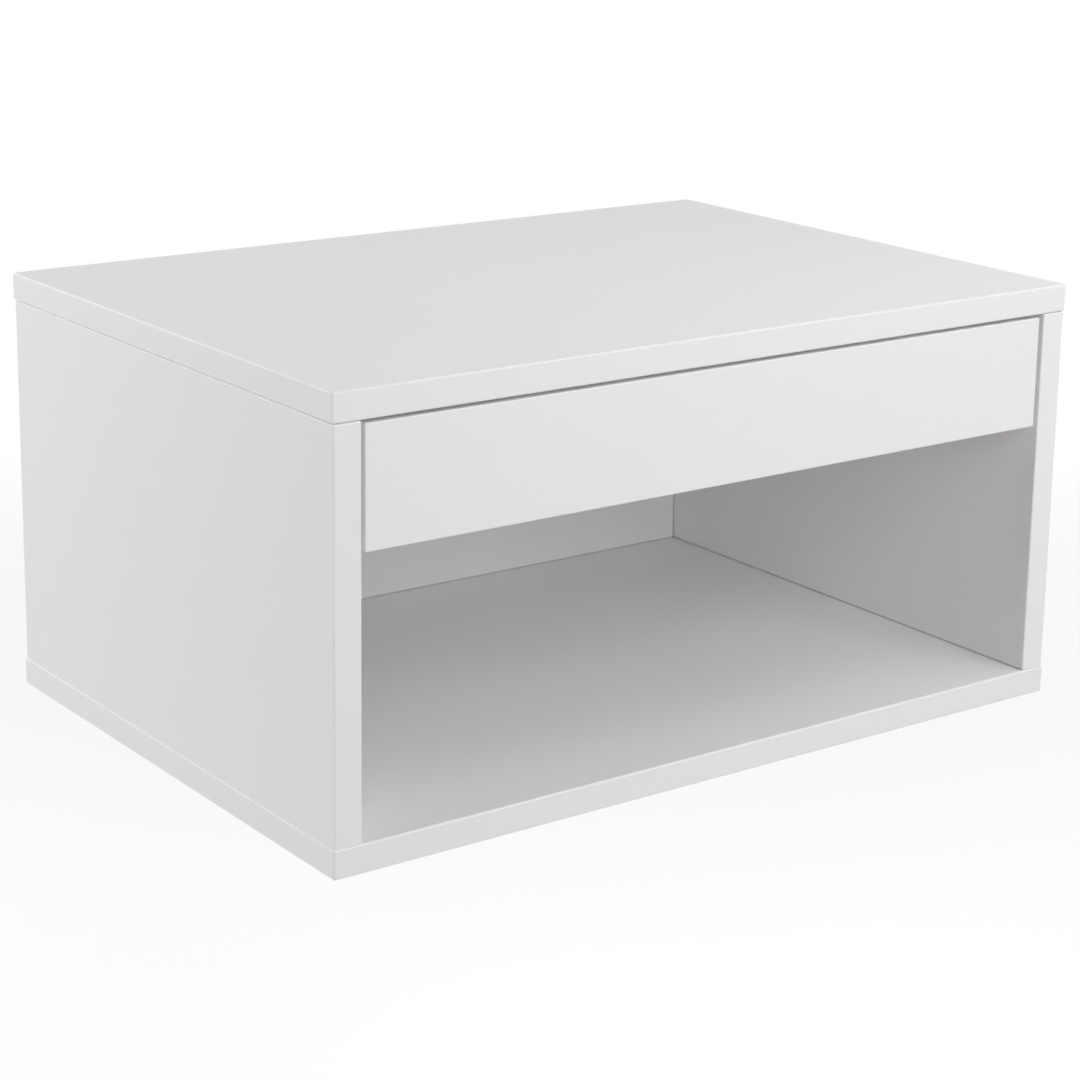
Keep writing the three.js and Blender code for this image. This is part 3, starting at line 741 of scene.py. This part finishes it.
def side_board(side, material):
    """A side board: a hole in its inner face for each cam, and a fine joint at its head."""
    low, high = span(f"{side}_side_panel")
    high[Z] -= JOINT
    faces_up = side == "left"
    inner_face = high[X] if faces_up else low[X]
    openings = []
    for end in ENDS:
        cam_low, cam_high = span(f"{side}_{end}_cam_lock")
        centre = (cam_low + cam_high) / 2
        centre[X] = inner_face
        radius = (cam_high[Z] - cam_low[Z]) / 2 + FIT
        depth = cam_high[X] - cam_low[X] + FIT
        openings.append(round_hole(X, faces_up, centre, [(radius, 0), (radius, depth)]))
    shell = Shell()
    board(shell, low, high, SIDE_EASE, openings, inner_face)
    dress(shell, f"{side}_side_board", material, "white_lacquer", "cabinet", f"{side}_side_panel")


def plate_recess(side, rear):
    """The recess for a keyhole plate in the rear face, with the pocket for the wall screw's head."""
    low, high = span(f"{side}_hanger_plate")
    centre = (low + high) / 2
    corner = PLATE_CORNER + FIT
    core_low, core_high = low + PLATE_CORNER, high - PLATE_CORNER
    floor = low[Y] - FIT
    mouth = centre - [0, 0, MOUTH_DROP]
    slot_end = centre + [0, 0, SLOT_RISE]
    pocket_end = mouth.copy()
    pocket_end[Y] = floor - POCKET_DEPTH

    def inner(rim):
        return [
            outline(rim, core_low, core_high, corner, Y, rear),
            outline(rim, core_low, core_high, corner, Y, floor),
            outline(rim, mouth, slot_end, POCKET_RADIUS, Y, floor),
            outline(rim, mouth, slot_end, POCKET_RADIUS, Y, pocket_end[Y]),
            middle(rim, pocket_end),
        ]

    return Opening(Y, True, low - RECESS_MARGIN, high + RECESS_MARGIN, RECESS_STEPS, inner)


def back_board(material):
    """The back board, with a recess and a pocket for each keyhole plate in its rear face."""
    low, high = span("back_panel")
    low += [BACK_SIDE_JOINT, 0, BACK_FOOT_JOINT]
    high -= [BACK_SIDE_JOINT, 0, BACK_FOOT_JOINT]
    shell = Shell()
    board(shell, low, high, BACK_EASE, [plate_recess(side, high[Y]) for side in SIGNS])
    dress(shell, "back_board", material, "white_lacquer", "cabinet", "back_panel")


def keyhole(rim, mouth, level):
    """The outline of a keyhole round its mouth.

    Along each ray it is the farther of the mouth's circle and the slot. The ray leaves the slot
    through its straight side, or through its round end where it meets that first.
    """
    ray = rim - mouth
    ray[:, Y] = 0
    ray = unit(ray)
    rise = MOUTH_DROP + SLOT_RISE
    side = SLOT_RADIUS / np.maximum(np.abs(ray[:, X]), TINY)
    round_end = rise * ray[:, Z] + np.sqrt(np.maximum(SLOT_RADIUS**2 - (rise * ray[:, X])**2, 0))
    slot = np.where(side * ray[:, Z] <= rise, side, round_end)
    reach = np.where(ray[:, Z] > 0, np.maximum(slot, MOUTH_RADIUS), MOUTH_RADIUS)
    loop = mouth + ray * reach[:, None]
    loop[:, Y] = level
    return loop


def hanger_plate(side, material):
    """A keyhole plate: the keyhole and two countersunk holes run through it."""
    node = f"{side}_hanger_plate"
    low, high = span(node)
    centre = (low + high) / 2
    mouth = centre - [0, 0, MOUTH_DROP]
    half_width = (high[X] - low[X]) / 2 - PLATE_SIDE

    def keyhole_loops(rim):
        return [
            keyhole(rim, mouth, high[Y]),
            keyhole(rim, mouth, low[Y]),
            at_level(rim, Y, low[Y]),
        ]

    cell_low = centre - [half_width, 0, MOUTH_DROP + KEYHOLE_BELOW]
    cell_high = centre + [half_width, 0, SLOT_RISE + KEYHOLE_ABOVE]
    openings = [Opening(Y, True, cell_low, cell_high, KEYHOLE_STEPS, keyhole_loops, through=True)]
    reach = np.array([half_width, 0, SCREW_HOLE_REACH])
    for level in LEVELS:
        screw_low, screw_high = span(f"{side}_{level}_hanger_screw")
        spot = (screw_low + screw_high) / 2
        head = (screw_high[X] - screw_low[X]) / 2 + FIT / 2
        shank = SHANK_RADIUS + FIT

        def screw_loops(rim, spot=spot, head=head, shank=shank):
            return [
                outline(rim, spot, spot, head, Y, high[Y]),
                outline(rim, spot, spot, shank, Y, low[Y] + METAL_EASE),
                outline(rim, spot, spot, shank, Y, low[Y]),
                at_level(rim, Y, low[Y]),
            ]

        cell = spot - reach, spot + reach
        openings.append(Opening(Y, True, *cell, HOLE_STEPS, screw_loops, through=True))
    shell = Shell()
    board(shell, low, high, METAL_EASE, openings)
    dress(shell, f"{side}_keyhole_plate", material, "zinc_plated_steel", "cabinet", node)


def hanger_screw(side, level, material):
    """A countersunk screw that holds a keyhole plate."""
    node = f"{side}_{level}_hanger_screw"
    low, high = span(node)
    centre = (low + high) / 2
    centre[Y] = high[Y]
    shell = Shell()
    radius, length = (high[X] - low[X]) / 2, high[Y] - low[Y]
    flat_screw(shell, radius, PLATE_HEAD, SHANK_RADIUS, length, centre, (0, 1, 0))
    dress(shell, f"{side}_{level}_plate_screw", material, "zinc_plated_steel", "cabinet", node)


def floor_cap(side, end, material):
    """The cap over a long screw: a bevelled disc with a pin."""
    node = f"{side}_{end}_floor_cap"
    low, high = span(node)
    centre = (low + high) / 2
    centre[Z] = low[Z]
    radius = (high[X] - low[X]) / 2
    length = high[Z] - low[Z]
    shell = Shell()
    shell.loft(circles([(0, 0), (radius - CAP_BEVEL, 0)], centre, (0, 0, 1)))
    turn = np.linspace(0, np.pi / 2, CAP_BEVEL_STEPS + 1)
    radii = radius - CAP_BEVEL * (1 - np.sin(turn))
    heights = CAP_BEVEL * (1 - np.cos(turn))
    shell.loft(circles(list(zip(radii, heights)), centre, (0, 0, 1)), smooth=True)
    disc = [(radius, CAP_BEVEL), (radius, CAP_THICKNESS)]
    pin = [(CAP_PIN_RADIUS, CAP_THICKNESS), (CAP_PIN_RADIUS, length), (0, length)]
    shell.loft(circles([*disc, *pin], centre, (0, 0, 1)))
    dress(shell, f"{side}_{end}_screw_cap", material, "cap_plastic", "cabinet", node)


def cam(side, end, material):
    """A cam: a drum with a chamfered rim and a cross recess in the face that looks into the cabinet."""
    node = f"{side}_{end}_cam_lock"
    low, high = span(node)
    centre = (low + high) / 2
    inward = -SIGNS[side]
    centre[X] = high[X] if inward > 0 else low[X]
    axis = (inward, 0, 0)
    radius = (high[Z] - low[Z]) / 2
    depth = high[X] - low[X]
    shell = Shell()
    rim = [(0, -depth), (radius, -depth), (radius, -CAM_RIM), (radius - CAM_RIM, 0)]
    shell.loft(circles(rim, centre, axis))
    shell.loft(recess(radius - CAM_RIM, CAM_SLOT_REACH, CAM_SLOT_HALF, CAM_SLOT_DEPTH, centre, axis, 0))
    dress(shell, f"{side}_{end}_cam", material, "cast_zinc", "cabinet", node)


def pan_piece(node, name, axis, head_height, shank_radius, body, material):
    """A pan-head screw in the place of a packed one; its head looks along the axis."""
    low, high = span(node)
    along = int(np.abs(axis).argmax())
    across = Z if along != Z else X
    sign = axis[along]
    centre = (low + high) / 2
    centre[along] = (high if sign > 0 else low)[along] - sign * head_height
    length = high[along] - low[along] - head_height
    shell = Shell()
    pan_screw(shell, (high[across] - low[across]) / 2, head_height, shank_radius, length, centre, axis)
    dress(shell, name, material, "zinc_plated_steel", body, node)


def towards(side, edge, height):
    """Turns a runner's own across and up into the row frame's x and z, for points and for directions."""

    def place(values, as_points):
        turned = values * [-SIGNS[side], 1]
        return turned + [edge, height] if as_points else turned

    return place


def cabinet_rail(side, material):
    """The rail on the side board: a channel with lips that keep the balls in."""
    node = f"{side}_cabinet_rail"
    low, high = span(node)
    half = (high[Z] - low[Z]) / 2 - RAIL_SHEET / 2
    deep = high[X] - low[X] - RAIL_SHEET / 2
    lip = half + RAIL_SHEET / 2 - RAIL_LIP
    web = RAIL_SHEET / 2
    corners = [(deep, -lip), (deep, -half), (web, -half), (web, half), (deep, half), (deep, lip)]
    edge = low[X] if side == "left" else high[X]
    shell = Shell()
    place = towards(side, edge, (low[Z] + high[Z]) / 2)
    bent_strip(shell, corners, RAIL_SHEET, RAIL_BEND, place, low[Y], high[Y])
    dress(shell, f"{side}_cabinet_runner", material, "zinc_plated_steel", "cabinet", node)


def drawer_rail(side, material):
    """The rail on the drawer: a smaller channel that opens towards the cabinet's."""
    node = f"{side}_drawer_rail"
    low, high = span(node)
    half = (high[Z] - low[Z]) / 2 - RAIL_SHEET / 2
    deep = high[X] - low[X]
    web = deep - RAIL_SHEET / 2
    corners = [(0, half), (web, half), (web, -half), (0, -half)]
    edge = low[X] if side == "left" else high[X]
    shell = Shell()
    place = towards(side, edge, (low[Z] + high[Z]) / 2)
    bent_strip(shell, corners, RAIL_SHEET, RAIL_BEND, place, low[Y], high[Y])
    dress(shell, f"{side}_drawer_runner", material, "zinc_plated_steel", "drawer", node)


def ball_cage(side, strip_material, ball_material):
    """The cage between the rails: a bent strip, and two rows of balls held in it."""
    node = f"{side}_ball_cage"
    low, high = span(node)
    rail_low, rail_high = span(f"{side}_cabinet_rail")
    inward = -SIGNS[side]
    rail_edge = rail_low[X] if side == "left" else rail_high[X]
    cage_edge = low[X] if side == "left" else high[X]
    height = (low[Z] + high[Z]) / 2
    half = (high[Z] - low[Z]) / 2 - BALL_RADIUS
    web = CAGE_SHEET / 2
    corners = [(CAGE_REACH, -half), (web, -half), (web, half), (CAGE_REACH, half)]
    strip = Shell()
    place = towards(side, cage_edge, height)
    bent_strip(strip, corners, CAGE_SHEET, CAGE_BEND, place, low[Y], high[Y])
    dress(strip, f"{side}_cage_strip", strip_material, "cast_zinc", f"{side}_cage", node)

    turn = np.linspace(0, np.pi, BALL_POINTS // 2 + 1)[:, None]
    angle = np.linspace(0, 2 * np.pi, BALL_POINTS + 1)[None, :]
    ring = np.sin(turn)
    outward = np.stack([ring * np.cos(angle), np.cos(turn) + 0 * angle, ring * np.sin(angle)], -1)
    balls = Shell()
    middle_y = (low[Y] + high[Y]) / 2
    for row in (-half, half):
        for number in range(BALLS_PER_ROW):
            y = middle_y + BALL_PITCH * (number - (BALLS_PER_ROW - 1) / 2)
            centre = np.array([rail_edge + inward * BALL_INSET, y, height + row])
            balls.add(centre + BALL_RADIUS * outward, outward)
    dress(balls, f"{side}_balls", ball_material, "cast_zinc", f"{side}_cage")


def give_material(material, *nodes):
    """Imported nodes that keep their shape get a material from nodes."""
    for node in nodes:
        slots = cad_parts[node].data.materials
        slots.clear()
        slots.append(material)


def build_cabinet():
    """Every board and fitting but the drawer's box."""
    lacquer, plastic, wood = white_lacquer(), cap_plastic(), beech()
    zinc, cast, ball_finish = zinc_plated_steel(), cast_zinc(), ball_steel()
    plain_board("top_board", "top_panel", BOARD_EASE, lacquer, "white_lacquer", "cabinet")
    bottom_board(lacquer)
    back_board(lacquer)
    plain_board("drawer_front_board", "drawer_front", SIDE_EASE, lacquer, "white_lacquer", "drawer")
    for side, sign in SIGNS.items():
        side_board(side, lacquer)
        hanger_plate(side, zinc)
        cabinet_rail(side, zinc)
        drawer_rail(side, zinc)
        ball_cage(side, zinc, ball_finish)
        for level in LEVELS:
            hanger_screw(side, level, zinc)
            give_material(wood, f"{side}_{level}_back_dowel")
        for end in ENDS:
            floor_cap(side, end, plastic)
            cam(side, end, cast)
            give_material(zinc, f"{side}_{end}_cam_bolt", f"{side}_{end}_floor_screw")
            for body, facing in (("cabinet", -sign), ("drawer", sign)):
                node, name = f"{side}_{end}_{body}_rail_screw", f"{side}_{end}_{body}_screw"
                pan_piece(node, name, (facing, 0, 0), RAIL_HEAD, SHANK_RADIUS, body, zinc)
        node, name = f"{side}_front_screw", f"{side}_inner_front_screw"
        pan_piece(node, name, (0, 1, 0), FRONT_HEAD, FRONT_SHANK_RADIUS, "drawer", zinc)
        give_material(wood, f"{side}_top_dowel", f"{side}_bottom_dowel")


def build_drawer_box():
    """The drawer's box of birch plywood, its layers counted from one face of each board."""
    side_low, side_high = span("drawer_right_side")
    thickness = side_high[X] - side_low[X]
    side_ply = birch_plywood("birch_plywood_sides", X, side_low[X], thickness, Y)
    for side in SIGNS:
        plain_board(f"box_{side}_board", f"drawer_{side}_side", BOX_EASE, side_ply, "birch", "drawer")
    for name, node in (("front", "drawer_inner_front"), ("back", "drawer_back")):
        low, high = span(node)
        ply = birch_plywood(f"birch_plywood_{name}", Y, low[Y], high[Y] - low[Y], X)
        plain_board(f"box_{name}_board", node, BOX_EASE, ply, "birch", "drawer")
    plain_board("box_bottom_board", "drawer_bottom", METAL_EASE, liner_board(), "liner", "drawer")


# Camera: as in the photograph, but turned down where that one is shifted, which other views keep
EYE = Vector((-0.8999, -1.2308, 0.5492))
YAW, PITCH, ROLL = np.radians([36.1822, 13.9243, 0.8662])
LENS = 89.397
SENSOR = 36
SHIFT_UP = -0.12


def make_camera():
    """The camera looks along yaw and pitch, then turns about its own line of sight by the roll."""
    forward = np.array([np.sin(YAW) * np.cos(PITCH), np.cos(YAW) * np.cos(PITCH), -np.sin(PITCH)])
    level = np.array([np.cos(YAW), -np.sin(YAW), 0])
    upright = np.cross(level, forward)
    right = np.cos(ROLL) * level + np.sin(ROLL) * upright
    up = np.cos(ROLL) * upright - np.sin(ROLL) * level
    data = bpy.data.cameras.new("camera")
    data.lens = LENS
    data.sensor_width = SENSOR
    data.shift_y = SHIFT_UP
    camera = bpy.data.objects.new("camera", data)
    turned = Matrix(np.stack([right, up, -forward], 1).tolist())
    camera.matrix_world = Matrix.Translation(EYE) @ turned.to_4x4()
    bpy.context.scene.collection.objects.link(camera)
    bpy.context.scene.camera = camera


# Light goes back and forth between the pale boards round the shelf
DIFFUSE_BOUNCES = 8

# Room: the floor lies below the hung cabinet, and the surroundings are white
FLOOR_DROP = 0.45
FLOOR_RADIUS = 2.4
FLOOR_RINGS = 8
FLOOR_SIDES = 72
FADE_START = 0.55
FADE_END = 0.98
FLOOR_PAINT = (0.78, 0.78, 0.78, 1)
FLOOR_SHADE = (0.50, 0.50, 0.50, 1)
FLOOR_GLOW = 0.67
WHITE = (1, 1, 1, 1)
SKY_STRENGTH = 0.05
LAMP_TARGET = 0.12
LAMPS = [
    # name, azimuth from the front, elevation, distance, size, watts, shows in gloss
    ("near_right", 15, 22, 1.3, 0.8, 4.4, False),
    ("high_right", 45, 50, 1.3, 0.8, 4.7, True),
    ("front_left", -20, 22, 2.4, 1.6, 17.0, False),
    ("left", -106, 20, 2.4, 1.6, 23.0, False),
    ("high_left", -150, 29, 1.3, 0.8, 3.2, True),
    ("right", 90, 8, 2.4, 1.6, 17.0, False),
    ("rear", -165, 8, 2.4, 1.6, 11.0, False),
]


def seen_directly(f):
    """1 for what the camera sees, itself or in gloss and glass."""
    rays = [f"Is {kind} Ray" for kind in ("Camera", "Glossy", "Transmission")]
    camera, glossy, through = (f.node("ShaderNodeLightPath", {}, {}, ray) for ray in rays)
    return camera.maths("MAXIMUM", camera.maths("MAXIMUM", camera, glossy), through)


def floor_paint():
    """Pale floor that shows white, with the part's shadow.

    Where it is seen it glows, and a darker paint under the glow carries the shadow. It fades
    into the surroundings towards its rim, and is clear from below.
    """
    f = finish("floor_paint")
    seen = seen_directly(f)
    painted = f.node("ShaderNodeBsdfDiffuse", {}, {"Color": FLOOR_PAINT})
    shaded = f.node("ShaderNodeBsdfDiffuse", {}, {"Color": FLOOR_SHADE})
    glow = f.node("ShaderNodeEmission", {}, {"Color": WHITE, "Strength": FLOOR_GLOW})
    shown = f.node("ShaderNodeAddShader", {}, {0: shaded, 1: glow})
    both = f.node("ShaderNodeMixShader", {}, {0: seen, 1: painted, 2: shown})
    distance = f.node("ShaderNodeVectorMath", {"operation": "LENGTH"}, {0: f.place((1, 1, 0))}, "Value")
    fade = f.spread(distance, FLOOR_RADIUS * FADE_START, FLOOR_RADIUS * FADE_END, 0, 1)
    below = f.node("ShaderNodeNewGeometry", {}, {}, "Backfacing")
    clear = f.node("ShaderNodeBsdfTransparent", {}, {})
    faded = f.node("ShaderNodeMixShader", {}, {0: fade.maths("MAXIMUM", fade, below), 1: both, 2: clear})
    f.node("ShaderNodeOutputMaterial", {}, {"Surface": faded})
    return f.owner


def make_floor():
    """A round floor: rings of points from its middle to its rim."""
    radius = np.linspace(0, FLOOR_RADIUS, FLOOR_RINGS + 1)[:, None]
    angle = np.linspace(0, 2 * np.pi, FLOOR_SIDES + 1)[None, :]
    level = -FLOOR_DROP + 0 * radius * angle
    points = np.stack([radius * np.cos(angle), radius * np.sin(angle), level], -1)
    shell = Shell()
    shell.add(points, np.array([0.0, 0.0, 1.0]))
    shell.make("floor", floor_paint())


def make_surroundings():
    """White all round for the camera, and a plain sky that lights the part."""
    f = Finish(bpy.data.worlds.new("surroundings"))
    bpy.context.scene.world = f.owner
    strength = seen_directly(f) * (1 - SKY_STRENGTH) + SKY_STRENGTH
    sky = f.node("ShaderNodeBackground", {}, {"Color": WHITE, "Strength": strength})
    f.node("ShaderNodeOutputWorld", {}, {"Surface": sky})


def make_lights():
    """Square soft lamps that look at the cabinet, placed by azimuth from the front and elevation.

    Only the two high ones show in gloss, where they brighten the eased edges. Apart from them the
    satin faces mirror plain white.
    """
    target = Vector((0, 0, LAMP_TARGET))
    for name, azimuth, elevation, distance, size, power, glossy in LAMPS:
        azimuth, elevation = np.radians([azimuth, elevation])
        level = np.cos(elevation)
        away = Vector((np.sin(azimuth) * level, -np.cos(azimuth) * level, np.sin(elevation)))
        data = bpy.data.lights.new(name, "AREA")
        data.shape = "SQUARE"
        data.size = size
        data.energy = power
        light = bpy.data.objects.new(name, data)
        turned = (-away).to_track_quat("-Z", "Y").to_matrix().to_4x4()
        light.matrix_world = Matrix.Translation(target + distance * away) @ turned
        light.visible_glossy = glossy
        bpy.context.scene.collection.objects.link(light)


make_camera()
build_cabinet()
build_drawer_box()
make_floor()
make_surroundings()
make_lights()

bpy.context.scene.view_settings.view_transform = "Standard"
bpy.context.scene.cycles.diffuse_bounces = DIFFUSE_BOUNCES
